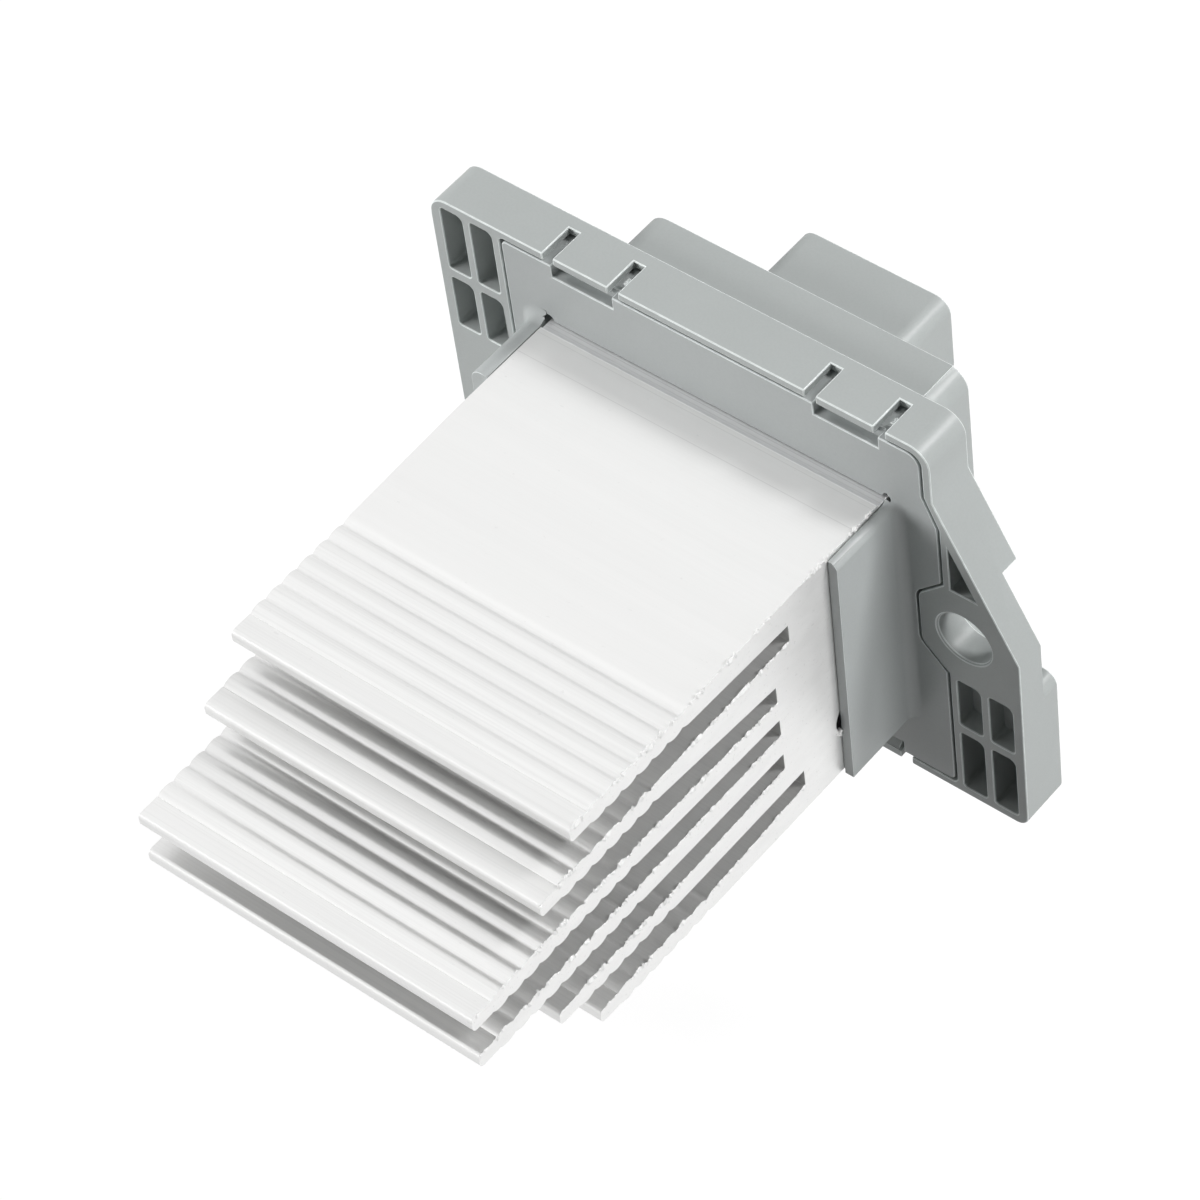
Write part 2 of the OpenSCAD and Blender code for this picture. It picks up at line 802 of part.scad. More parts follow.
module board_screws() {
    color("#8f9294") from_hole() board_places()
        pan_screw(0, 0, board_screw_r, board_head_r, board_head_h, board_back, board_screw_len);
}

// Power transistor on its pad

module thermal_pad() {
    grow = 0.5;
    color("#c9ccd6") from_hole() difference() {
        block([power_x - power_w / 2 - grow, seat_d, power_z - power_h / 2 - grow],
            [power_x + power_w / 2 + grow, power_front, power_z + power_h / 2 + grow]);
        rod(power_x, power_hole_z, power_hole_r, seat_d - over, power_front + over);
    }
}

// The metal flag under the transistor with its three leads, bent to the board
module frame_metal() {
    flag_x = power_w / 2 - frame_margin;
    body_low = power_z - power_h / 2;
    block([power_x - flag_x, power_front, body_low + lead_sunk + 1],
        [power_x + flag_x, power_front + frame_t, power_z + power_h / 2 - frame_margin]);
    for (i = [-1, 0, 1]) {
        translate([power_x + i * lead_pitch, 0, 0]) {
            block([-lead_w / 2, lead_y, lead_z], [lead_w / 2, lead_y + lead_t, body_low + lead_sunk]);
            block([-lead_w / 2, lead_y, lead_z], [lead_w / 2, board_back + 0.8, lead_z + lead_t]);
        }
    }
    block([power_x - lead_w / 2, power_front + frame_t - over, body_low + lead_sunk - 1],
        [power_x + lead_w / 2, lead_y + lead_t, body_low + lead_sunk + 2]);
}

module transistor_frame() {
    color("#c2c4c5") from_hole() difference() {
        frame_metal();
        rod(power_x, power_hole_z, power_hole_r, power_front - over, power_front + power_t);
    }
}

module transistor_body() {
    color("#232425") from_hole() difference() {
        block([power_x - power_w / 2, power_front, power_z - power_h / 2],
            [power_x + power_w / 2, power_front + power_t, power_z + power_h / 2]);
        frame_metal();
        rod(power_x, power_hole_z, power_hole_r, power_front - over, power_front + power_t + over);
    }
}

// Circuit board and what it carries

// A square hole through the board for a flat lead
module lead_hole(x, z, w, h) {
    translate([x, 0, z]) block([-w / 2 - hole_clear, board_y - over, -h / 2 - hole_clear],
        [w / 2 + hole_clear, board_back + over, h / 2 + hole_clear]);
}

module wire_hole(x, z) {
    rod(x, z, wire_r + hole_clear, board_y - over, board_back + over);
}

module circuit_board() {
    color("#2f5d3a") from_hole() difference() {
        slab(board_y, board_back)
            round_rect([board_left, -board_top], [board_right, board_top], board_corner);
        board_places() rod(0, 0, board_screw_r + 0.2, board_y - over, board_back + over);
        for (i = [-1, 0, 1]) lead_hole(power_x + i * lead_pitch, lead_z + lead_t / 2, lead_w, lead_t);
        for (i = [0 : 3]) lead_hole(blade_x(i), socket_z, blade_t, tail_width(i));
        for (side = [-1, 1]) {
            wire_hole(can_x + side * can_r / 2, can_z + can_len / 2 + bend_out);
            wire_hole(diode_x, diode_z + side * (diode_len / 2 + bend_out));
            wire_hole(fuse_x + side * (fuse_len / 2 + bend_out), fuse_z);
            lead_hole(strip_x, strip_z + side * (strip_len - strip_t) / 2, strip_w, strip_t);
        }
    }
}

// Blades: supply, motor, ground and signal, from left to right
function blade_x(i) = socket_mid + (i - 1.5) * blade_pitch;
function blade_width(i) = i == 3 ? signal_w : blade_w;
function tail_width(i) = blade_width(i) - 1.2;

module blade_slot(i) {
    grow = hole_clear;
    block([blade_x(i) - blade_t / 2 - grow, box_in_back - over, socket_z - blade_width(i) / 2 - grow],
        [blade_x(i) + blade_t / 2 + grow, box_back + over, socket_z + blade_width(i) / 2 + grow]);
}

module blade(i) {
    half = blade_width(i) / 2;
    tail = tail_width(i) / 2;
    tip = socket_end - blade_short;
    taper = 1;
    color("#d8c98a") from_hole() translate([blade_x(i) - blade_t / 2, 0, socket_z])
        rotate([90, 0, 90]) linear_extrude(height = blade_t) polygon([
            [board_y - tail_out, -tail],
            [board_back, -tail],
            [board_back, -half],
            [tip - taper, -half],
            [tip, -half + taper],
            [tip, half - taper],
            [tip - taper, half],
            [board_back, half],
            [board_back, tail],
            [board_y - tail_out, tail]
        ]);
}

module supply_blade() {
    blade(0);
}

module motor_blade() {
    blade(1);
}

module ground_blade() {
    blade(2);
}

module signal_blade() {
    blade(3);
}

// A wire from a part's end along one direction, then back into the board
module bent_wire(axis_y, run) {
    rotate([0, 90, 0]) cylinder(r = wire_r, h = run);
    translate([run, 0, 0]) sphere(wire_r);
    translate([run, board_back + 0.8 - axis_y, 0]) rotate([90, 0, 0])
        cylinder(r = wire_r, h = board_back + 0.8 - axis_y);
}

can_y = board_y - can_r - 0.1;
diode_y = board_y - diode_r - 0.1;
fuse_y = board_y - fuse_r - 0.1;

module capacitor_can() {
    groove = 0.4;
    groove_at = 2;
    color("#34383f") from_hole() translate([can_x, can_y, can_z - can_len / 2])
        rotate_extrude() difference() {
            square([can_r, can_len]);
            translate([can_r, can_len - groove_at]) circle(groove);
        }
}

module capacitor_leads() {
    color("#cfd1d2") from_hole() for (side = [-1, 1]) {
        translate([can_x + side * can_r / 2, can_y, can_z + can_len / 2]) rotate([0, -90, 0])
            bent_wire(can_y, bend_out);
    }
}

module surge_diode() {
    color("#2a2a2c") from_hole() translate([diode_x, diode_y, diode_z - diode_len / 2])
        rotate_extrude() polygon([
            [0, 0],
            [diode_r - 0.3, 0],
            [diode_r, 0.3],
            [diode_r, diode_len - 0.3],
            [diode_r - 0.3, diode_len],
            [0, diode_len]
        ]);
}

module diode_leads() {
    color("#cfd1d2") from_hole() for (side = [-1, 1]) {
        translate([diode_x, diode_y, diode_z + side * diode_len / 2]) rotate([0, -side * 90, 0])
            bent_wire(diode_y, bend_out);
    }
}

module thermal_fuse() {
    neck = 1.5;
    color("#b8bbb7") from_hole() translate([fuse_x - fuse_len / 2, fuse_y, fuse_z]) rotate([0, 90, 0])
        rotate_extrude() polygon([
            [0, 0],
            [fuse_r, 0],
            [fuse_r, fuse_len - neck],
            [fuse_r * 0.6, fuse_len],
            [0, fuse_len]
        ]);
}

module fuse_leads() {
    color("#cfd1d2") from_hole() for (side = [0, 1]) {
        translate([fuse_x, fuse_y, fuse_z]) mirror([side, 0, 0]) translate([fuse_len / 2, 0, 0])
            bent_wire(fuse_y, bend_out);
    }
}

module control_chip() {
    color("#26272a") from_hole() difference() {
        block([chip_x - chip_w / 2, board_y - chip_t - chip_lift, chip_z - chip_h / 2],
            [chip_x + chip_w / 2, board_y - chip_lift, chip_z + chip_h / 2]);
        rod(chip_x - chip_w / 2 + 1, chip_z - chip_h / 2 + 1, 0.4, board_y - chip_t - chip_lift - over,
            board_y - chip_t - chip_lift + 0.15);
    }
}

// Two rows of gull-wing legs from the chip's long sides down to the board
module chip_legs() {
    mid_y = board_y - chip_lift - chip_t / 2;
    color("#cfd1d2") from_hole() for (k = [0 : chip_leg_n - 1], side = [0, 1]) {
        x = chip_x + (k - (chip_leg_n - 1) / 2) * chip_leg_pitch;
        translate([x, 0, chip_z]) mirror([0, 0, side]) translate([0, 0, chip_h / 2]) {
            block([-chip_leg_w / 2, mid_y, 0], [chip_leg_w / 2, mid_y + chip_leg_t, chip_leg_out / 2]);
            block([-chip_leg_w / 2, mid_y, chip_leg_out / 2 - chip_leg_t],
                [chip_leg_w / 2, board_y, chip_leg_out / 2]);
            block([-chip_leg_w / 2, board_y - chip_leg_t, chip_leg_out / 2 - chip_leg_t],
                [chip_leg_w / 2, board_y, chip_leg_out]);
        }
    }
}

// The current-sensing strip, a flat bridge whose feet go through the board
module shunt_strip() {
    color("#b58a63") from_hole() translate([strip_x, 0, strip_z]) {
        block([-strip_w / 2, board_y - strip_rise, -strip_len / 2],
            [strip_w / 2, board_y - strip_rise + strip_t, strip_len / 2]);
        for (side = [-1, 1]) {
            translate([0, 0, side * (strip_len - strip_t) / 2])
                block([-strip_w / 2, board_y - strip_rise, -strip_t / 2],
                    [strip_w / 2, board_back + 0.6, strip_t / 2]);
        }
    }
}

module chip_resistors() {
    color("#303338") from_hole() for (k = [0 : 4]) {
        translate([can_x, board_y, can_z - can_len / 2 - flat_gap - k * flat_pitch])
            block([-flat_len / 2, -flat_t, -flat_w / 2], [flat_len / 2, 0, flat_w / 2]);
    }
}

module chip_capacitors() {
    color("#b79a73") from_hole() for (k = [0 : 2]) {
        translate([board_right - block_edge - k * block_pitch, board_y, block_z])
            block([-block_h / 2, -block_t, -block_len / 2], [block_h / 2, 0, block_len / 2]);
    }
}

housing();
carrier_plate();
heat_sink();
sink_screws();
thermal_pad();
transistor_frame();
transistor_body();
transistor_screw();
circuit_board();
board_screws();
supply_blade();
motor_blade();
ground_blade();
signal_blade();
capacitor_can();
capacitor_leads();
surge_diode();
diode_leads();
thermal_fuse();
fuse_leads();
control_chip();
chip_legs();
shunt_strip();
chip_resistors();
chip_capacitors();
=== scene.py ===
import math

import bmesh
import bpy
from mathutils import Matrix, Vector
from mathutils.geometry import intersect_point_line


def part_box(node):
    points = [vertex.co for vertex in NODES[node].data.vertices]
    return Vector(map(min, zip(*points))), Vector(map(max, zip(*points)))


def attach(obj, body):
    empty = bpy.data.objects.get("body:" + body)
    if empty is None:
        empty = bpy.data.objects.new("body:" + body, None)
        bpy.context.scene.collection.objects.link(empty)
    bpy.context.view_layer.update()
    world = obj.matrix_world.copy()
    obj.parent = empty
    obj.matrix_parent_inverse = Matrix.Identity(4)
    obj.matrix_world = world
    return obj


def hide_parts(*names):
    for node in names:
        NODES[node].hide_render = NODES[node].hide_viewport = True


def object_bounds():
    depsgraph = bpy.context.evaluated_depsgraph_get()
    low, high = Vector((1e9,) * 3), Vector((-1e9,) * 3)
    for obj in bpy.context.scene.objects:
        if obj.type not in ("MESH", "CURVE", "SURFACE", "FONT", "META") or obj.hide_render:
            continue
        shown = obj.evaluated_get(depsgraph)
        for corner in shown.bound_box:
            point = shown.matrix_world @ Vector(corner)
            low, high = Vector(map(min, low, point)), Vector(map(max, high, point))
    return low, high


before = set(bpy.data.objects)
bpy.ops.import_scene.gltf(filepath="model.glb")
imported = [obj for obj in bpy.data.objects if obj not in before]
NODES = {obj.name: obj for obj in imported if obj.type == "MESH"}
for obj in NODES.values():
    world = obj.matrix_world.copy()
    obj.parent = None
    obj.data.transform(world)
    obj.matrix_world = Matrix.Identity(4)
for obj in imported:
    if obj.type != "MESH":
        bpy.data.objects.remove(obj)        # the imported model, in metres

bl_info = {
    "name": "Blower resistor finisher",
    "version": (1, 0, 0),
    "blender": (4, 5, 0),
    "location": "View3D > Sidebar > Resistor",
    "description": "Gives the pieces of a blower motor resistor their moulded, extruded and sawn finishes",
    "category": "Object",
}

CAD_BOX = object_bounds()
BODY = "root"
MM = 0.001

# Places taken from the frame
SINK_LOW, SINK_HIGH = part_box("heat_sink")
RIM_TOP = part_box("housing")[1].z

# Where flash is left: beside the right wall of each tab's right slot, from front to back, below the rim's top
FLASH_WALLS = (-58.15 * MM, -11.65 * MM)
FLASH_FRONT, FLASH_BACK, FLASH_DROP = -2.9 * MM, -1.9 * MM, 0.4 * MM

# Edges turned by more than SHARP are corners, and those turned by less than FLAT lie within a face
SHARP = math.radians(30.0)
FLAT = math.radians(0.6)
# Points nearer than WELD are one, and triangles turned by less than ONE_FACE make one face
WELD = 0.001 * MM
ONE_FACE = math.radians(0.5)
# Faces whose normal has more than this along X are sawn
SAWN = 0.99
# Reach round the heat sink within which the seat's edges are hidden
COVER = 1.2 * MM

# How far the top's own finish reaches down, and the depth over which it fades
TOP_SKIN, TOP_FADE = 2.0 * MM, 0.5 * MM
# Scratches that the die drew: distance from the plate, half width and strength
DIE_LINES = ((0.5 * MM, 0.1 * MM, 0.5), (1.2 * MM, 0.14 * MM, 0.35), (3.0 * MM, 0.1 * MM, 0.3),
             (7.4 * MM, 0.12 * MM, 0.4))

# The burr's teeth and the clumps that they stand in: features in a metre, the part of the noise's range
# that is used, and the share of the burr's height that it gives
TEETH = {"scale": 1.1 / MM, "noise": (0.44, 0.58), "share": (0.12, 2.1)}
CLUMPS = {"scale": 0.3 / MM, "noise": (0.4, 0.58), "share": (0.3, 1.25)}
# Level of the noise's colour at which a tooth doesn't lean, lower along Z so that most of them rise
TOOTH_LEVEL = (0.5, 0.5, 0.2)
# Edges this near the sawn end carry a burr, where the normal of their face rises by more than UPWARD
END_REACH = 0.01 * MM
UPWARD = 0.2

# Smallest and largest scale of a bit of flash, and its largest turn
FLASH_SMALL, FLASH_LARGE = (0.9, 0.4, 0.3), (1.8, 0.9, 1.1)
FLASH_TURN = 0.6

# Lamps that light and aren't mirrored: name, azimuth and elevation in degrees, and power in watts
SOFT_LAMPS = (("left_high", -90.0, 65.0, 3.6), ("left_low", -44.0, 18.0, 8.4),
              ("right_low", 98.0, 0.0, 7.6), ("front", 0.0, 40.0, 0.2))
# The screen that is only mirrored, and the small lamp behind that does both
SCREEN = ("left_screen", -25.0, 30.0, 0.4)
REAR = ("rear", 130.0, 45.0, 5.8)
REAR_SHARE = 0.4

# The camera's sensor in millimetres, and the nearest and farthest that it sees
SENSOR = 36.0
NEAREST, FARTHEST = 0.01, 100.0

# The floor: half its side, its two tones, and its brightness to the camera and in reflections
FLOOR_HALF = 3.0
FLOOR_TONES = (0.13, 0.13, 0.13), (0.14, 0.14, 0.14)
FLOOR_SEEN, FLOOR_MIRRORED = 0.91, 0.84


# Sizes and colours that a user would change

def length(name, text, default):
    """A length property in metres."""
    return bpy.props.FloatProperty(name=name, description=text, default=default, min=0.0, precision=5,
                                   subtype="DISTANCE", unit="LENGTH")


def share(name, text, default):
    """A property from 0 to 1."""
    return bpy.props.FloatProperty(name=name, description=text, default=default, min=0.0, max=1.0,
                                   subtype="FACTOR")


def number(name, text, default):
    """A plain number, such as a strength."""
    return bpy.props.FloatProperty(name=name, description=text, default=default)


def angle(name, text, degrees):
    """An angle, given in degrees and kept in radians."""
    return bpy.props.FloatProperty(name=name, description=text, default=math.radians(degrees),
                                   subtype="ANGLE", unit="ROTATION")


def place(name, text, default):
    """A point in the model's frame."""
    return bpy.props.FloatVectorProperty(name=name, description=text, default=default,
                                         subtype="TRANSLATION", unit="LENGTH")


def colour(name, text, default):
    """A linear colour."""
    return bpy.props.FloatVectorProperty(name=name, description=text, default=default, min=0.0, max=1.0,
                                         subtype="COLOR")


class MouldingLook(bpy.types.PropertyGroup):
    """The two grey mouldings."""
    edge_round: length("Edge rounding", "Radius worn onto the mouldings' outer edges", 0.2 * MM)
    edge_share: share("Edge share", "Largest share of a narrow wall that its rounding may take", 0.3)
    housing: colour("Housing", "Grey of the flange and housing", (0.437, 0.462, 0.456))
    plate: colour("Plate", "Grey of the carrier plate", (0.435, 0.458, 0.456))
    roughness: share("Roughness", "Roughness of the moulded skin", 0.37)
    grain: length("Grain", "Size of the skin's grain", 0.35 * MM)
    flash: length("Flash", "Size of the torn bits of flash in the slots beside the tabs", 0.3 * MM)


class AluminiumLook(bpy.types.PropertyGroup):
    """The sawn extrusion."""
    metal: colour("Metal", "Colour of the bare aluminium", (0.85, 0.85, 0.843))
    neck: length("Neck", "Depth of the seat that the neck stands in", 1.2 * MM)
    metallic: share("Metallic", "How much of the oxidised skin shines as metal", 0.66)
    roughness: share("Roughness", "Roughness of the extruded skin", 0.28)
    burr: length("Burr", "Height of the burr that the saw leaves", 0.28 * MM)
    burr_step: length("Burr step", "Spacing of the points along the burr", 0.22 * MM)
    plain: length("Plain top", "Length of the smooth top between the plate and the ridges", 45.5 * MM)
    # The neck's step: the neck behind it is painted greyer as painted shade, and its edge gets a painted
    # highlight line
    neck_step: length("Neck step", "Distance from the plate to the neck's step, whose edge gets a painted highlight", 2.1 * MM)


class StageLook(bpy.types.PropertyGroup):
    """Camera, lamps and floor."""
    target: place("Target", "Point that the camera looks at", (-0.0517, -0.0234, -0.0082))
    azimuth: angle("Azimuth", "Turn of the camera round the object", 45.83)
    elevation: angle("Elevation", "Height of the camera above the horizon", 49.43)
    roll: angle("Roll", "Turn of the camera about its own axis", -8.765)
    distance: length("Distance", "Distance from the camera to its target", 0.73)
    lens: number("Lens", "Focal length in millimetres", 152.81)
    lamp_aim: place("Lamp aim", "Point that the lamps face", (-0.045, -0.03, 0.0))
    lamp_size: length("Lamp size", "Side of the square lamps", 0.5)
    screen_size: length("Screen size", "Side of the screen that the metal mirrors", 0.6)
    floor_drop: length("Floor drop", "Distance from the object's lowest point to the floor", 0.05)


# Shader maths

class Wire:
    """An output socket of a material, on which Python's operators add Math nodes."""

    def __init__(self, finish, socket):
        self.finish = finish
        self.socket = socket

    def maths(self, operation, first, second):
        return self.finish.node("ShaderNodeMath", {"operation": operation}, {0: first, 1: second})

    def __add__(self, other):
        return self.maths("ADD", self, other)

    def __radd__(self, other):
        return self.maths("ADD", other, self)

    def __sub__(self, other):
        return self.maths("SUBTRACT", self, other)

    def __rsub__(self, other):
        return self.maths("SUBTRACT", other, self)

    def __mul__(self, other):
        return self.maths("MULTIPLY", self, other)

    def __rmul__(self, other):
        return self.maths("MULTIPLY", other, self)


class Finish:
    """A material with one Principled shader, built up node by node."""

    def __init__(self, name, **constants):
        self.material = bpy.data.materials.new(name)
        self.material.use_nodes = True
        self.tree = self.material.node_tree
        self.shader = self.tree.nodes["Principled BSDF"]
        for socket, value in constants.items():
            self.shader.inputs[socket.replace("_", " ")].default_value = value
        self.spot = self.node("ShaderNodeTexCoord", output="Object")

    def node(self, kind, settings=None, inputs=None, output=0):
        """Adds a node: its settings first, then the values or links of its sockets."""
        made = self.tree.nodes.new(kind)
        for name, value in (settings or {}).items():
            setattr(made, name, value)
        for name, value in (inputs or {}).items():
            self.feed(made.inputs[name], value)
        return Wire(self, made.outputs[output])

    def feed(self, socket, value):
        if isinstance(value, Wire):
            self.tree.links.new(value.socket, socket)
        else:
            socket.default_value = value

    def put(self, **links):
        """Links values that change over the surface to the shader."""
        for socket, value in links.items():
            self.feed(self.shader.inputs[socket.replace("_", " ")], value)

    def stretched(self, scale):
        """Object coordinates scaled along each axis."""
        return self.node("ShaderNodeMapping", None, {"Vector": self.spot, "Scale": scale})

    def noise(self, size, detail, rough, along=(1.0, 1.0, 1.0)):
        """Noise from 0 to 1 whose features have a size in metres, drawn out along the axes."""
        scale = tuple(1.0 / (size * a) for a in along)
        return self.node("ShaderNodeTexNoise", None, {"Vector": self.stretched(scale), "Scale": 1.0,
                                                      "Detail": detail, "Roughness": rough})

    def ramp(self, value, low, high):
        """0 below low and 1 above high, smooth between them."""
        return self.node("ShaderNodeMapRange", {"interpolation_type": "SMOOTHSTEP"},
                         {"Value": value, "From Min": low, "From Max": high})

    def mix(self, mask, first, second):
        """One colour changing into another."""
        return self.node("ShaderNodeMix", {"data_type": "RGBA"},
                         {"Factor": mask, "A": opaque(first), "B": opaque(second)}, "Result")

    def bump(self, height, depth, strength, under=None):
        """A normal bent by a height, on top of another bump where one is given."""
        inputs = {"Height": height, "Distance": depth, "Strength": strength}
        if under is not None:
            inputs["Normal"] = under
        return self.node("ShaderNodeBump", None, inputs)


def opaque(value):
    """A colour with its alpha, or a link as it is."""
    return value if isinstance(value, Wire) else (*value[:3], 1.0)


def shade(value, factor):
    """A colour made lighter or darker."""
    return tuple(min(1.0, channel * factor) for channel in value[:3])


# Materials

def moulded_plastic(name, grey, look, seed):
    """Semi-matte moulded polyamide: cloudy flow, fine grain and a few light rubs."""
    finish = Finish(name, Specular_IOR_Level=0.42)
    cloud = finish.noise(18 * MM, detail=3.0, rough=0.55, along=(1.0, 1.0, 1.6))
    flow = finish.noise(2.6 * MM, detail=2.0, rough=0.5, along=(3.0, 1.0, 1.0))
    grain = finish.noise(look.grain, detail=2.0, rough=0.6)
    scuffs = finish.noise(4.2 * MM + seed * MM, detail=4.0, rough=0.7, along=(1.0, 1.0, 2.0))
    rubs = finish.ramp(scuffs, 0.66, 0.8)
    tone = finish.mix(cloud, shade(grey, 0.94), shade(grey, 1.05))
    tone = finish.mix(flow * 0.25, tone, shade(grey, 1.09))
    tone = finish.mix(finish.ramp(grain, 0.3, 0.8) * 0.22, tone, shade(grey, 0.84))
    tone = finish.mix(rubs * 0.18, tone, shade(grey, 1.3))
    finish.put(Base_Color=tone, Roughness=look.roughness - 0.06 + 0.14 * cloud + 0.06 * grain - 0.05 * rubs,
               Normal=finish.bump(grain, depth=0.03 * MM, strength=0.35))
    return finish.material


def highlit_rubbed_edge(name, grey, look):
    """The mouldings' outer edges: a painted highlight makes them 1.45 times paler all along, and they are
    paler still, up to 2.1 times, where they are rubbed.
    """
    finish = Finish(name, Specular_IOR_Level=0.5)
    wear = finish.noise(1.6 * MM, detail=3.0, rough=0.6)
    finish.put(Base_Color=finish.mix(wear, shade(grey, 1.45), shade(grey, 2.1)),
               Roughness=look.roughness - 0.1 + 0.12 * wear)
    return finish.material


def extruded_aluminium(name, look):
    """Bare extrusion: die lines along X, dull bands, small pits, a smoother top, a painted shade on the neck
    beside the plate and a painted highlight along the neck's step.
    """
    finish = Finish(name)
    lines = finish.noise(0.28 * MM, detail=3.0, rough=0.6, along=(160.0, 1.0, 1.0))
    bands = finish.noise(3.5 * MM, detail=2.0, rough=0.5, along=(40.0, 1.0, 1.0))
    clouds = finish.noise(14 * MM, detail=3.0, rough=0.6)
    pits = finish.ramp(finish.noise(0.8 * MM, detail=2.0, rough=0.5, along=(1.6, 1.0, 1.0)), 0.72, 0.78)
    depth = finish.node("ShaderNodeSeparateXYZ", None, {"Vector": finish.spot}, "Y")
    height = finish.node("ShaderNodeSeparateXYZ", None, {"Vector": finish.spot}, "Z")
    ridges = SINK_HIGH.y - look.neck - look.plain
    skin = SINK_HIGH.z - TOP_SKIN
    plain = finish.ramp(depth, ridges - MM, ridges + MM) * finish.ramp(height, skin - TOP_FADE, skin)
    tone = finish.mix(bands, shade(look.metal, 0.97), shade(look.metal, 1.02))
    tone = finish.mix(finish.ramp(lines, 0.4, 0.7) * (0.5 - 0.38 * plain), tone, shade(look.metal, 0.9))
    tone = finish.mix(pits * 0.25, tone, shade(look.metal, 0.72))
    neck_step_at = SINK_HIGH.y - look.neck - look.neck_step
    neck = finish.ramp(depth, neck_step_at - 0.05 * MM, neck_step_at + 0.25 * MM)
    step_highlight = finish.ramp(depth, neck_step_at - 0.22 * MM, neck_step_at - 0.1 * MM) * (1.0 - neck)
    # Painted shade: the neck from the plate to its step is painted a greyer lavender
    tone = finish.mix(neck * 0.35, tone, (0.8, 0.8, 0.83))
    # Painted highlight: a white line, broken by clouds, along the edge of the neck's step
    tone = finish.mix(step_highlight * finish.ramp(clouds, 0.3, 0.5), tone, (1.0, 1.0, 1.0))
    for reach, wide, strength in DIE_LINES:
        at = SINK_HIGH.y - look.neck - reach
        scratch = finish.ramp(depth, at - wide, at) * (1.0 - finish.ramp(depth, at, at + wide))
        tone = finish.mix(scratch * strength, tone, shade(look.metal, 0.62))
    finish.put(Base_Color=tone, Metallic=look.metallic - 0.08 * pits - 0.3 * plain,
               Roughness=look.roughness - 0.05 + 0.1 * bands + 0.08 * clouds + 0.1 * pits + 0.1 * plain,
               Normal=finish.bump(lines, depth=0.008 * MM, strength=0.35))
    return finish.material


def sawn_aluminium(name, look):
    """Sawn ends: short scratches across the section and smeared patches."""
    finish = Finish(name)
    tooth = finish.noise(0.22 * MM, detail=3.0, rough=0.65, along=(1.0, 9.0, 1.0))
    smear = finish.noise(2.2 * MM, detail=4.0, rough=0.65, along=(1.0, 2.5, 1.0))
    specks = finish.ramp(finish.noise(0.5 * MM, detail=3.0, rough=0.7), 0.6, 0.72)
    tone = finish.mix(smear, look.metal, shade(look.metal, 1.13))
    tone = finish.mix(specks * 0.6, tone, shade(look.metal, 0.84))
    dents = finish.bump(smear, depth=0.05 * MM, strength=0.25)
    finish.put(Base_Color=tone, Metallic=look.metallic - 0.05, Roughness=look.roughness + 0.02 + 0.14 * smear,
               Normal=finish.bump(tooth, depth=0.03 * MM, strength=0.4, under=dents))
    return finish.material


def plated_metal(name, tone, rough):
    """A plated or tinned metal: streaks, dull clouds and small marks."""
    finish = Finish(name, Metallic=1.0)
    cloud = finish.noise(2.0 * MM, detail=3.0, rough=0.6)
    marks = finish.noise(0.3 * MM, detail=2.0, rough=0.6, along=(1.0, 6.0, 1.0))
    finish.put(Base_Color=finish.mix(cloud, shade(tone, 0.9), shade(tone, 1.06)),
               Roughness=rough - 0.06 + 0.12 * cloud + 0.06 * marks,
               Normal=finish.bump(marks, depth=0.01 * MM, strength=0.4))
    return finish.material


def moulded_epoxy(name, tone, rough=0.5):
    """Moulded epoxy or sleeve: a fine matt grain."""
    finish = Finish(name, Specular_IOR_Level=0.4)
    grain = finish.noise(0.25 * MM, detail=3.0, rough=0.65)
    cloud = finish.noise(3.0 * MM, detail=2.0, rough=0.5)
    finish.put(Base_Color=finish.mix(cloud, shade(tone, 0.85), shade(tone, 1.25)),
               Roughness=rough - 0.05 + 0.14 * grain,
               Normal=finish.bump(grain, depth=0.02 * MM, strength=0.5))
    return finish.material


def lacquered_board(name):
    """Green lacquer over copper tracks on a woven laminate."""
    finish = Finish(name, Specular_IOR_Level=0.5)
    warp = finish.noise(0.5 * MM, detail=1.0, rough=0.5, along=(3.0, 1.0, 1.0))
    weft = finish.noise(0.5 * MM, detail=1.0, rough=0.5, along=(1.0, 1.0, 3.0))
    weave = warp * weft
    cells = finish.node("ShaderNodeTexVoronoi", {"distance": "CHEBYCHEV"},
                        {"Vector": finish.stretched((180.0, 1.0, 180.0)), "Scale": 1.0}, "Distance")
    tracks = finish.ramp(cells, 0.42, 0.46)
    tone = finish.mix(tracks, (0.02, 0.11, 0.045), (0.045, 0.2, 0.075))
    tone = finish.mix(weave * 0.6, tone, (0.07, 0.23, 0.1))
    finish.put(Base_Color=tone, Roughness=0.24 + 0.2 * weave,
               Normal=finish.bump(tracks, depth=0.035 * MM, strength=0.6))
    return finish.material


# Mesh helpers

def merged_copy(node):
    """The node's mesh with its loose triangles joined and its flat faces made whole."""
    shape = bmesh.new()
    shape.from_mesh(NODES[node].data)
    bmesh.ops.remove_doubles(shape, verts=shape.verts, dist=WELD)
    bmesh.ops.dissolve_limit(shape, angle_limit=ONE_FACE, verts=shape.verts, edges=shape.edges,
                             delimit={"NORMAL"})
    return shape


def new_piece(name, mesh, *materials):
    """A piece at the origin with its materials, linked to the scene."""
    piece = bpy.data.objects.new(name, mesh)
    bpy.context.scene.collection.objects.link(piece)
    mesh.materials.clear()
    for material in materials:
        mesh.materials.append(material)
    return piece


def plain_mesh(piece):
    """Turns a piece's modifiers into a plain mesh."""
    evaluated = piece.evaluated_get(bpy.context.evaluated_depsgraph_get())
    mesh = bpy.data.meshes.new_from_object(evaluated)
    piece.modifiers.clear()
    piece.data = mesh
    return mesh


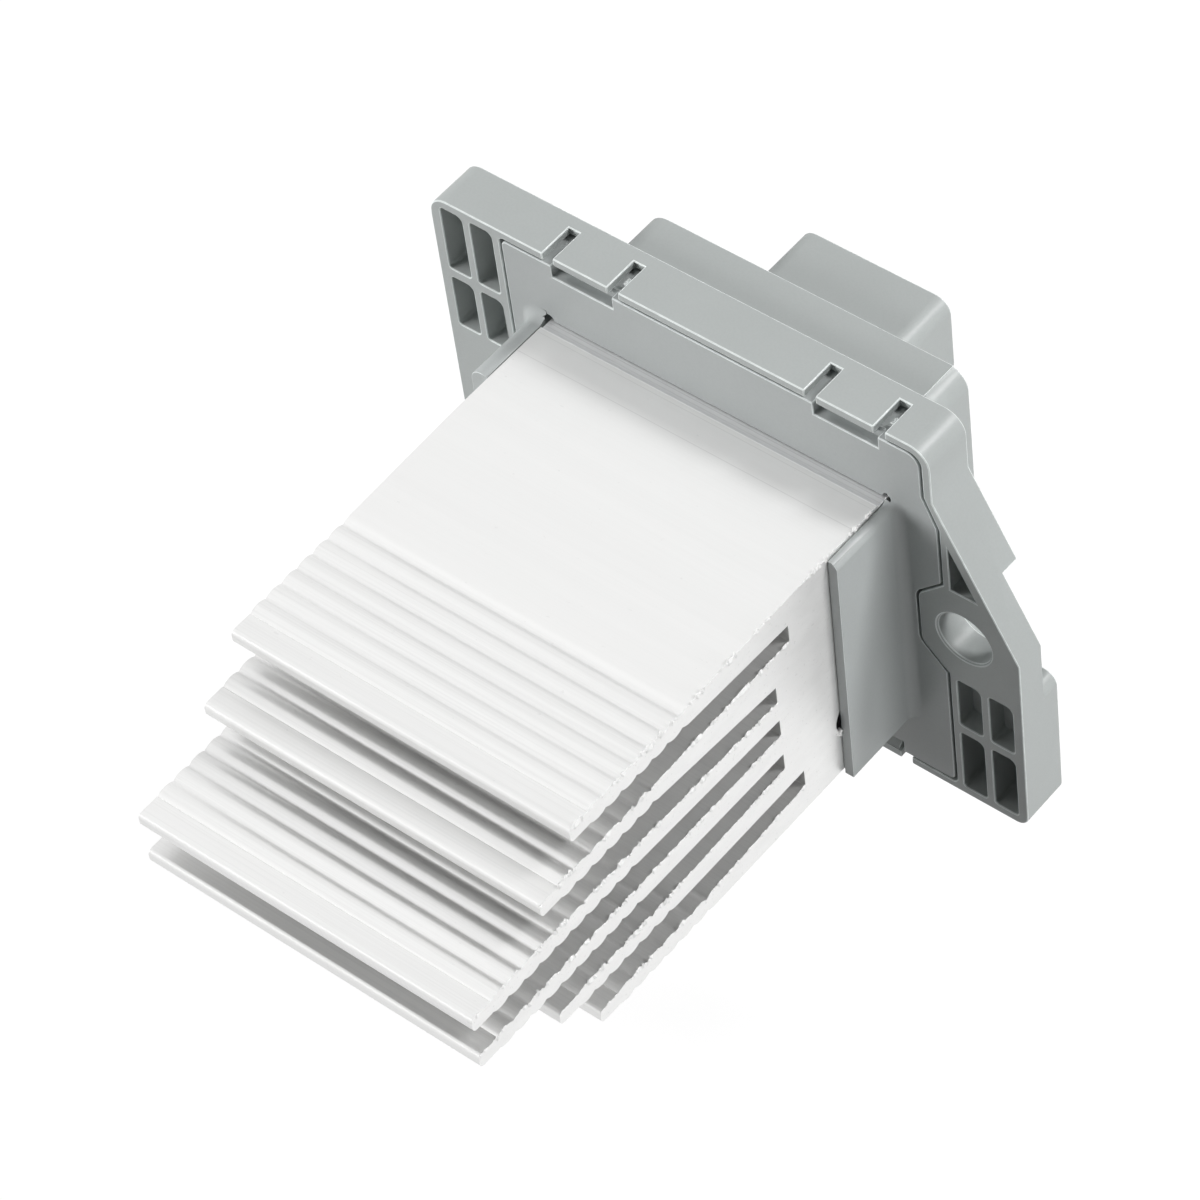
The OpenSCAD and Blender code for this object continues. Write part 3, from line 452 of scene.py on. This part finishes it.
def edge_chains(edges):
    """Groups edges that run on into one another without a corner."""
    leader = {edge.index: edge.index for edge in edges}

    def find(index):
        while leader[index] != index:
            index = leader[index]
        return index

    for edge in edges:
        for vert in edge.verts:
            way = edge.other_vert(vert).co - vert.co
            for other in vert.link_edges:
                if other.index in leader and other.index != edge.index:
                    if way.angle(other.other_vert(vert).co - vert.co) > math.pi - SHARP:
                        leader[find(other.index)] = find(edge.index)
    chains = {}
    for edge in edges:
        chains.setdefault(find(edge.index), []).append(edge)
    return chains.values()


def edge_room(edge, chain):
    """How near the other edges of an edge's two faces come to it, those of its own chain left out."""
    start, end = edge.verts
    spots = [start.co.lerp(end.co, part) for part in (0.1, 0.5, 0.9)]
    room = math.inf
    for face in edge.link_faces:
        for other in face.edges:
            if other.index in chain or other.calc_face_angle(0.0) < FLAT:
                continue
            if start in other.verts or end in other.verts:
                continue
            low, high = (vert.co for vert in other.verts)
            for spot in spots:
                part = intersect_point_line(spot, low, high)[1]
                room = min(room, (low.lerp(high, max(0.0, min(1.0, part))) - spot).length)
    return room


def covered(edge):
    """Whether an edge lies in the seat, where the heat sink hides it."""
    middle = (edge.verts[0].co + edge.verts[1].co) / 2.0
    return all(low - COVER < spot < high + COVER for low, spot, high in zip(SINK_LOW, middle, SINK_HIGH))


def round_edges(shape, look):
    """Weights each chain of outer edges by the rounding that its walls have room for."""
    weights = shape.edges.layers.float.new("bevel_weight_edge")
    shape.edges.index_update()
    outer = []
    for edge in shape.edges:
        if edge.calc_face_angle(0.0) > SHARP:
            if edge.is_convex and not covered(edge):
                outer.append(edge)
            else:
                edge.smooth = False
    for chain in edge_chains(outer):
        own = {edge.index for edge in chain}
        room = min(edge_room(edge, own) for edge in chain)
        for edge in chain:
            edge[weights] = min(1.0, look.edge_share * room / look.edge_round)


def even_normals(piece):
    """Keeps large faces flat where they run into small curved ones."""
    normals = piece.modifiers.new("Normals", "WEIGHTED_NORMAL")
    normals.mode = "FACE_AREA"
    normals.weight = 100
    normals.keep_sharp = True


def moulding(node, name, grey, look, seed):
    """A copy of a moulded node with its outer edges rounded, which stands for the node."""
    shape = merged_copy(node)
    for face in shape.faces:
        face.smooth = True
    round_edges(shape, look)
    mesh = bpy.data.meshes.new(name)
    shape.to_mesh(mesh)
    shape.free()
    # The rounded edges get the second material, a painted highlight mixed with rubbed wear
    piece = new_piece(name, mesh, moulded_plastic(name + "_skin", grey, look, seed),
                      highlit_rubbed_edge(name + "_edge", grey, look))
    rounding = piece.modifiers.new("Rounding", "BEVEL")
    rounding.limit_method = "WEIGHT"
    rounding.width = look.edge_round
    rounding.segments = 2
    rounding.use_clamp_overlap = False
    rounding.material = 1
    even_normals(piece)
    plain_mesh(piece)
    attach(piece, BODY)
    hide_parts(node)


def paint(node, material):
    """Gives a node its finish."""
    for slot in NODES[node].material_slots:
        slot.material = material


# Geometry Nodes

class Growth:
    """A Geometry Nodes tree with named inputs, run once on a piece."""

    def __init__(self, name):
        self.tree = bpy.data.node_groups.new(name, "GeometryNodeTree")
        self.tree.interface.new_socket("Geometry", in_out="OUTPUT", socket_type="NodeSocketGeometry")
        self.tree.interface.new_socket("Geometry", in_out="INPUT", socket_type="NodeSocketGeometry")
        self.source = self.tree.nodes.new("NodeGroupInput")
        self.drain = self.tree.nodes.new("NodeGroupOutput")
        self.values = {}

    def input(self, name, value, kind="NodeSocketFloat"):
        """A named input and the socket that carries it."""
        socket = self.tree.interface.new_socket(name, in_out="INPUT", socket_type=kind)
        self.values[socket.identifier] = value
        return self.source.outputs[name]

    def node(self, kind, settings=None, inputs=None):
        """Adds a node: its settings first, then the values or links of its sockets."""
        made = self.tree.nodes.new(kind)
        for name, value in (settings or {}).items():
            setattr(made, name, value)
        for name, value in (inputs or {}).items():
            if isinstance(value, bpy.types.NodeSocket):
                self.tree.links.new(value, made.inputs[name])
            else:
                made.inputs[name].default_value = value
        return made

    def maths(self, operation, first, second):
        return self.node("ShaderNodeMath", {"operation": operation}, {0: first, 1: second}).outputs[0]

    def above(self, value, limit):
        """Whether a value is greater than a limit."""
        return self.node("FunctionNodeCompare", {"data_type": "FLOAT", "operation": "GREATER_THAN"},
                         {"A": value, "B": limit}).outputs[0]

    def noise(self, at, scale, detail, roughness=0.5):
        """Noise at a position."""
        return self.node("ShaderNodeTexNoise", {"noise_dimensions": "3D"},
                         {"Vector": at, "Scale": scale, "Detail": detail, "Roughness": roughness}).outputs

    def spread(self, value, noise, share):
        """Part of a noise's range drawn out to a range of shares."""
        return self.node("ShaderNodeMapRange", {"clamp": True},
                         {"Value": value, "From Min": noise[0], "From Max": noise[1],
                          "To Min": share[0], "To Max": share[1]}).outputs[0]

    def run(self, piece, geometry, material):
        """Ends the tree, runs it on a piece and keeps the result as a plain mesh."""
        real = self.node("GeometryNodeRealizeInstances", None, {"Geometry": geometry})
        done = self.node("GeometryNodeSetMaterial", None,
                         {"Geometry": real.outputs[0], "Material": material})
        self.tree.links.new(done.outputs[0], self.drain.inputs[0])
        growth = piece.modifiers.new(self.tree.name, "NODES")
        growth.node_group = self.tree
        for identifier, value in self.values.items():
            growth[identifier] = value
        return plain_mesh(piece)


def burr_growth(look):
    """A ragged burr along the upper edges of the right sawn end."""
    tree = Growth("saw_burr")
    step = tree.input("Step", look.burr_step)
    thick = tree.input("Thickness", look.burr)
    end = tree.input("End", SINK_HIGH.x - END_REACH)
    wobble = tree.input("Wobble", 1.1)
    slim = tree.input("Slimness", (0.5, 1.0, 1.0), "NodeSocketVector")
    at = tree.node("GeometryNodeInputPosition").outputs[0]
    split = tree.node("ShaderNodeSeparateXYZ", None, {0: at}).outputs
    normal = tree.node("GeometryNodeInputNormal").outputs[0]
    facing = tree.node("GeometryNodeFieldOnDomain", {"data_type": "FLOAT_VECTOR", "domain": "FACE"},
                       {0: normal}).outputs[0]
    up = tree.node("ShaderNodeSeparateXYZ", None, {0: facing}).outputs["Z"]
    both = tree.node("FunctionNodeBooleanMath", {"operation": "AND"},
                     {0: tree.above(split["X"], end), 1: tree.above(up, UPWARD)}).outputs[0]
    rim = tree.node("GeometryNodeMeshToCurve", None, {"Mesh": tree.source.outputs[0], "Selection": both})
    points = tree.node("GeometryNodeResampleCurve", {"mode": "LENGTH"},
                       {"Curve": rim.outputs[0], "Length": step})
    ragged = tree.noise(at, TEETH["scale"], detail=3.0, roughness=0.7)
    clump = tree.noise(at, CLUMPS["scale"], detail=1.0)
    height = tree.maths("MULTIPLY", tree.spread(ragged[0], TEETH["noise"], TEETH["share"]),
                        tree.spread(clump[0], CLUMPS["noise"], CLUMPS["share"]))
    away = tree.node("ShaderNodeVectorMath", {"operation": "SUBTRACT"},
                     {0: ragged["Color"], 1: TOOTH_LEVEL}).outputs[0]
    push = tree.node("ShaderNodeVectorMath", {"operation": "SCALE"},
                     {0: away, "Scale": tree.maths("MULTIPLY", thick, wobble)}).outputs[0]
    moved = tree.node("GeometryNodeSetPosition", None, {"Geometry": points.outputs[0], "Offset": push})
    upright = tree.node("GeometryNodeSetCurveNormal", {"mode": "Z_UP"}, {"Curve": moved.outputs[0]})
    ring = tree.node("GeometryNodeCurvePrimitiveCircle", None, {"Resolution": 5, "Radius": thick})
    flat = tree.node("GeometryNodeTransform", None, {"Geometry": ring.outputs[0], "Scale": slim})
    swept = tree.node("GeometryNodeCurveToMesh", None,
                      {"Curve": upright.outputs[0], "Profile Curve": flat.outputs[0], "Scale": height,
                       "Fill Caps": True})
    return tree, swept.outputs[0]


def flash_growth(look):
    """Torn bits of flash along the walls of the tab slots."""
    tree = Growth("torn_flash")
    step = tree.input("Step", 0.9 * look.flash)
    size = tree.input("Size", look.flash)
    seed = tree.input("Seed", 11, "NodeSocketInt")
    walls = tree.node("GeometryNodeMeshToCurve", None, {"Mesh": tree.source.outputs[0]})
    points = tree.node("GeometryNodeResampleCurve", {"mode": "LENGTH"},
                       {"Curve": walls.outputs[0], "Length": step})
    crumb = tree.node("GeometryNodeMeshIcoSphere", None, {"Radius": size, "Subdivisions": 1})
    grow = tree.node("FunctionNodeRandomValue", {"data_type": "FLOAT_VECTOR"},
                     {0: FLASH_SMALL, 1: FLASH_LARGE, "Seed": seed})
    turn = tree.node("FunctionNodeRandomValue", {"data_type": "FLOAT_VECTOR"},
                     {0: (-FLASH_TURN,) * 3, 1: (FLASH_TURN,) * 3, "Seed": seed})
    bits = tree.node("GeometryNodeInstanceOnPoints", None,
                     {"Points": points.outputs[0], "Instance": crumb.outputs[0],
                      "Rotation": turn.outputs[0], "Scale": grow.outputs[0]})
    return tree, bits.outputs[0]


# Operators, one for each piece or group of like pieces

class RESISTOR_OT_housing(bpy.types.Operator):
    """Makes the flanged housing with its worn edges and their painted highlight"""
    bl_idname = "resistor.housing"
    bl_label = "Housing"

    def execute(self, context):
        look = context.scene.resistor_moulding
        moulding("housing", "housing_shell", look.housing, look, 0.0)
        return {"FINISHED"}


class RESISTOR_OT_flash(bpy.types.Operator):
    """Leaves torn bits of flash in the slots beside the snap tabs"""
    bl_idname = "resistor.flash"
    bl_label = "Tab flash"

    def execute(self, context):
        look = context.scene.resistor_moulding
        # The flash is the housing's plastic painted 1.3 times paler: a painted highlight that lifts it from
        # the slot's shade
        skin = moulded_plastic("tab_flash_skin", shade(look.housing, 1.3), look, 2.0)
        spots = [(wall, depth, RIM_TOP - FLASH_DROP) for wall in FLASH_WALLS
                 for depth in (FLASH_FRONT, FLASH_BACK)]
        mesh = bpy.data.meshes.new("tab_flash")
        mesh.from_pydata(spots, [(0, 1), (2, 3)], [])
        piece = new_piece("tab_flash", mesh, skin)
        tree, geometry = flash_growth(look)
        tree.run(piece, geometry, skin)
        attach(piece, BODY)
        return {"FINISHED"}


class RESISTOR_OT_plate(bpy.types.Operator):
    """Makes the carrier plate with its bracket walls"""
    bl_idname = "resistor.plate"
    bl_label = "Carrier plate"

    def execute(self, context):
        look = context.scene.resistor_moulding
        moulding("carrier_plate", "plate_shell", look.plate, look, 1.0)
        return {"FINISHED"}


class RESISTOR_OT_heat_sink(bpy.types.Operator):
    """Makes the ridged extrusion with its sawn ends and the burr on one of them"""
    bl_idname = "resistor.heat_sink"
    bl_label = "Heat sink"

    def execute(self, context):
        look = context.scene.resistor_aluminium
        skin = extruded_aluminium("extruded_aluminium", look)
        sawn = sawn_aluminium("sawn_aluminium", look)
        shape = merged_copy("heat_sink")
        mesh = bpy.data.meshes.new("sink_extrusion")
        shape.to_mesh(mesh)
        shape.free()
        piece = new_piece("sink_extrusion", mesh, skin, sawn)
        for face in mesh.polygons:
            face.material_index = int(abs(face.normal.x) > SAWN)
        mesh.shade_smooth()
        mesh.set_sharp_from_angle(angle=SHARP)
        burr = new_piece("sink_burr", mesh.copy(), sawn)
        even_normals(piece)
        plain_mesh(piece)
        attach(piece, BODY)
        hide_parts("heat_sink")
        tree, geometry = burr_growth(look)
        tree.run(burr, geometry, sawn)
        burr.data.shade_flat()
        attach(burr, BODY)
        return {"FINISHED"}


class RESISTOR_OT_metals(bpy.types.Operator):
    """Finishes the screws, blades, leads and the other metal pieces"""
    bl_idname = "resistor.metals"
    bl_label = "Screws, blades and leads"

    def execute(self, context):
        zinc = plated_metal("zinc_plate", (0.55, 0.56, 0.57), rough=0.34)
        tin = plated_metal("tinned_copper", (0.7, 0.7, 0.69), rough=0.3)
        brass = plated_metal("tinned_brass", (0.72, 0.66, 0.47), rough=0.28)
        case = plated_metal("fuse_case", (0.6, 0.6, 0.58), rough=0.36)
        alloy = plated_metal("shunt_alloy", (0.5, 0.33, 0.22), rough=0.4)
        for node in ("sink_screws", "transistor_screw", "board_screws"):
            paint(node, zinc)
        for node in ("transistor_frame", "capacitor_leads", "diode_leads", "fuse_leads", "chip_legs"):
            paint(node, tin)
        for node in ("supply_blade", "motor_blade", "ground_blade", "signal_blade"):
            paint(node, brass)
        paint("thermal_fuse", case)
        paint("shunt_strip", alloy)
        return {"FINISHED"}


class RESISTOR_OT_electronics(bpy.types.Operator):
    """Finishes the circuit board and the bodies that it carries"""
    bl_idname = "resistor.electronics"
    bl_label = "Electronics"

    def execute(self, context):
        epoxy = moulded_epoxy("moulded_epoxy", (0.018, 0.018, 0.02))
        paint("circuit_board", lacquered_board("lacquered_board"))
        for node in ("transistor_body", "surge_diode", "control_chip", "chip_resistors"):
            paint(node, epoxy)
        paint("capacitor_can", moulded_epoxy("shrunk_sleeve", (0.025, 0.03, 0.045), rough=0.3))
        paint("thermal_pad", moulded_epoxy("pad_rubber", (0.48, 0.5, 0.56), rough=0.7))
        paint("chip_capacitors", moulded_epoxy("fired_ceramic", (0.42, 0.27, 0.13), rough=0.4))
        return {"FINISHED"}


class RESISTOR_OT_stage(bpy.types.Operator):
    """Sets up the camera, the lamps, the floor and the white surroundings"""
    bl_idname = "resistor.stage"
    bl_label = "Stage"

    def execute(self, context):
        look = context.scene.resistor_stage
        add_camera(context.scene, look)
        add_lamps(look)
        add_floor(look)
        add_world(context.scene)
        return {"FINISHED"}


def add_camera(scene, look):
    """A camera on a sphere round its target, turned about its own axis."""
    back = bearing(look.azimuth, look.elevation)
    data = bpy.data.cameras.new("camera")
    data.lens = look.lens
    data.sensor_width = SENSOR
    data.clip_start = NEAREST
    data.clip_end = FARTHEST
    camera = bpy.data.objects.new("camera", data)
    scene.collection.objects.link(camera)
    turn = (-back).to_track_quat("-Z", "Y").to_matrix() @ Matrix.Rotation(look.roll, 3, "Z")
    camera.matrix_world = Matrix.Translation(Vector(look.target) + back * look.distance) @ turn.to_4x4()
    scene.camera = camera


def bearing(azimuth, elevation):
    """The direction towards a place round the object, from its front."""
    return Vector((math.sin(azimuth) * math.cos(elevation), -math.cos(azimuth) * math.cos(elevation),
                   math.sin(elevation)))


def area_lamp(aim, size, name, azimuth, elevation, power):
    """A square soft lamp one metre from a point and facing it."""
    data = bpy.data.lights.new(name, "AREA")
    data.shape = "SQUARE"
    data.size = size
    data.energy = power
    lamp = bpy.data.objects.new(name, data)
    bpy.context.scene.collection.objects.link(lamp)
    out = bearing(math.radians(azimuth), math.radians(elevation))
    lamp.location = Vector(aim) + out
    lamp.rotation_euler = (-out).to_track_quat("-Z", "Y").to_euler()
    return lamp


def add_lamps(look):
    """Soft lamps that only light, a screen that is only mirrored, and a rear lamp that does both."""
    for lamp in SOFT_LAMPS:
        area_lamp(look.lamp_aim, look.lamp_size, *lamp).visible_glossy = False
    area_lamp(look.lamp_aim, look.screen_size, *SCREEN).visible_diffuse = False
    area_lamp(look.lamp_aim, REAR_SHARE * look.lamp_size, *REAR)


def add_floor(look):
    """A wide white floor that keeps the object's shadow."""
    finish = Finish("white_floor", Roughness=0.7, Specular_IOR_Level=0.1)
    mottle = finish.noise(0.2, detail=2.0, rough=0.5)
    finish.put(Base_Color=finish.mix(mottle, *FLOOR_TONES))
    rays = finish.tree.nodes.new("ShaderNodeLightPath").outputs
    camera, glossy = (Wire(finish, rays[name]) for name in ("Is Camera Ray", "Is Glossy Ray"))
    seen = FLOOR_SEEN * camera + FLOOR_MIRRORED * glossy
    finish.shader.inputs["Emission Strength"].default_value = 1.0
    finish.put(Emission_Color=finish.mix(seen, (0.0, 0.0, 0.0), (1.0, 1.0, 1.0)))
    level = CAD_BOX[0].z - look.floor_drop
    corners = [(x * FLOOR_HALF, y * FLOOR_HALF, level) for x, y in ((-1, -1), (1, -1), (1, 1), (-1, 1))]
    mesh = bpy.data.meshes.new("floor")
    mesh.from_pydata(corners, [], [(0, 1, 2, 3)])
    new_piece("floor", mesh, finish.material)


def add_world(scene):
    """White surroundings for the camera and for reflections, which give no diffuse light."""
    world = bpy.data.worlds.new("studio")
    world.use_nodes = True
    tree = world.node_tree
    tree.nodes.clear()
    rays = tree.nodes.new("ShaderNodeLightPath").outputs
    seen = rays["Is Camera Ray"]
    for name in ("Is Glossy Ray", "Is Transmission Ray"):
        either = tree.nodes.new("ShaderNodeMath")
        either.operation = "MAXIMUM"
        tree.links.new(seen, either.inputs[0])
        tree.links.new(rays[name], either.inputs[1])
        seen = either.outputs[0]
    dark = tree.nodes.new("ShaderNodeBackground")
    dark.inputs["Strength"].default_value = 0.0
    white = tree.nodes.new("ShaderNodeBackground")
    white.inputs["Color"].default_value = (1.0, 1.0, 1.0, 1.0)
    blend = tree.nodes.new("ShaderNodeMixShader")
    out = tree.nodes.new("ShaderNodeOutputWorld")
    tree.links.new(seen, blend.inputs[0])
    tree.links.new(dark.outputs[0], blend.inputs[1])
    tree.links.new(white.outputs[0], blend.inputs[2])
    tree.links.new(blend.outputs[0], out.inputs[0])
    scene.world = world
    scene.view_settings.view_transform = "Standard"


class RESISTOR_PT_sidebar(bpy.types.Panel):
    """Lists the resistor's pieces and their settings"""
    bl_idname = "RESISTOR_PT_sidebar"
    bl_label = "Blower resistor"
    bl_space_type = "VIEW_3D"
    bl_region_type = "UI"
    bl_category = "Resistor"

    def draw(self, context):
        for operator in OPERATORS:
            self.layout.operator(operator.bl_idname)
        for look, group in LOOKS.items():
            box = self.layout.box()
            for name in group.__annotations__:
                box.prop(getattr(context.scene, look), name)


OPERATORS = (RESISTOR_OT_housing, RESISTOR_OT_flash, RESISTOR_OT_plate, RESISTOR_OT_heat_sink,
             RESISTOR_OT_metals, RESISTOR_OT_electronics, RESISTOR_OT_stage)
LOOKS = {"resistor_moulding": MouldingLook, "resistor_aluminium": AluminiumLook, "resistor_stage": StageLook}
CLASSES = (*LOOKS.values(), *OPERATORS, RESISTOR_PT_sidebar)


def register():
    for made in CLASSES:
        bpy.utils.register_class(made)
    for name, group in LOOKS.items():
        setattr(bpy.types.Scene, name, bpy.props.PointerProperty(type=group))


def unregister():
    for name in LOOKS:
        delattr(bpy.types.Scene, name)
    for made in reversed(CLASSES):
        bpy.utils.unregister_class(made)


def main():
    register()
    bpy.ops.resistor.housing()
    bpy.ops.resistor.flash()
    bpy.ops.resistor.plate()
    bpy.ops.resistor.heat_sink()
    bpy.ops.resistor.metals()
    bpy.ops.resistor.electronics()
    bpy.ops.resistor.stage()


if __name__ == "__main__":
    main()
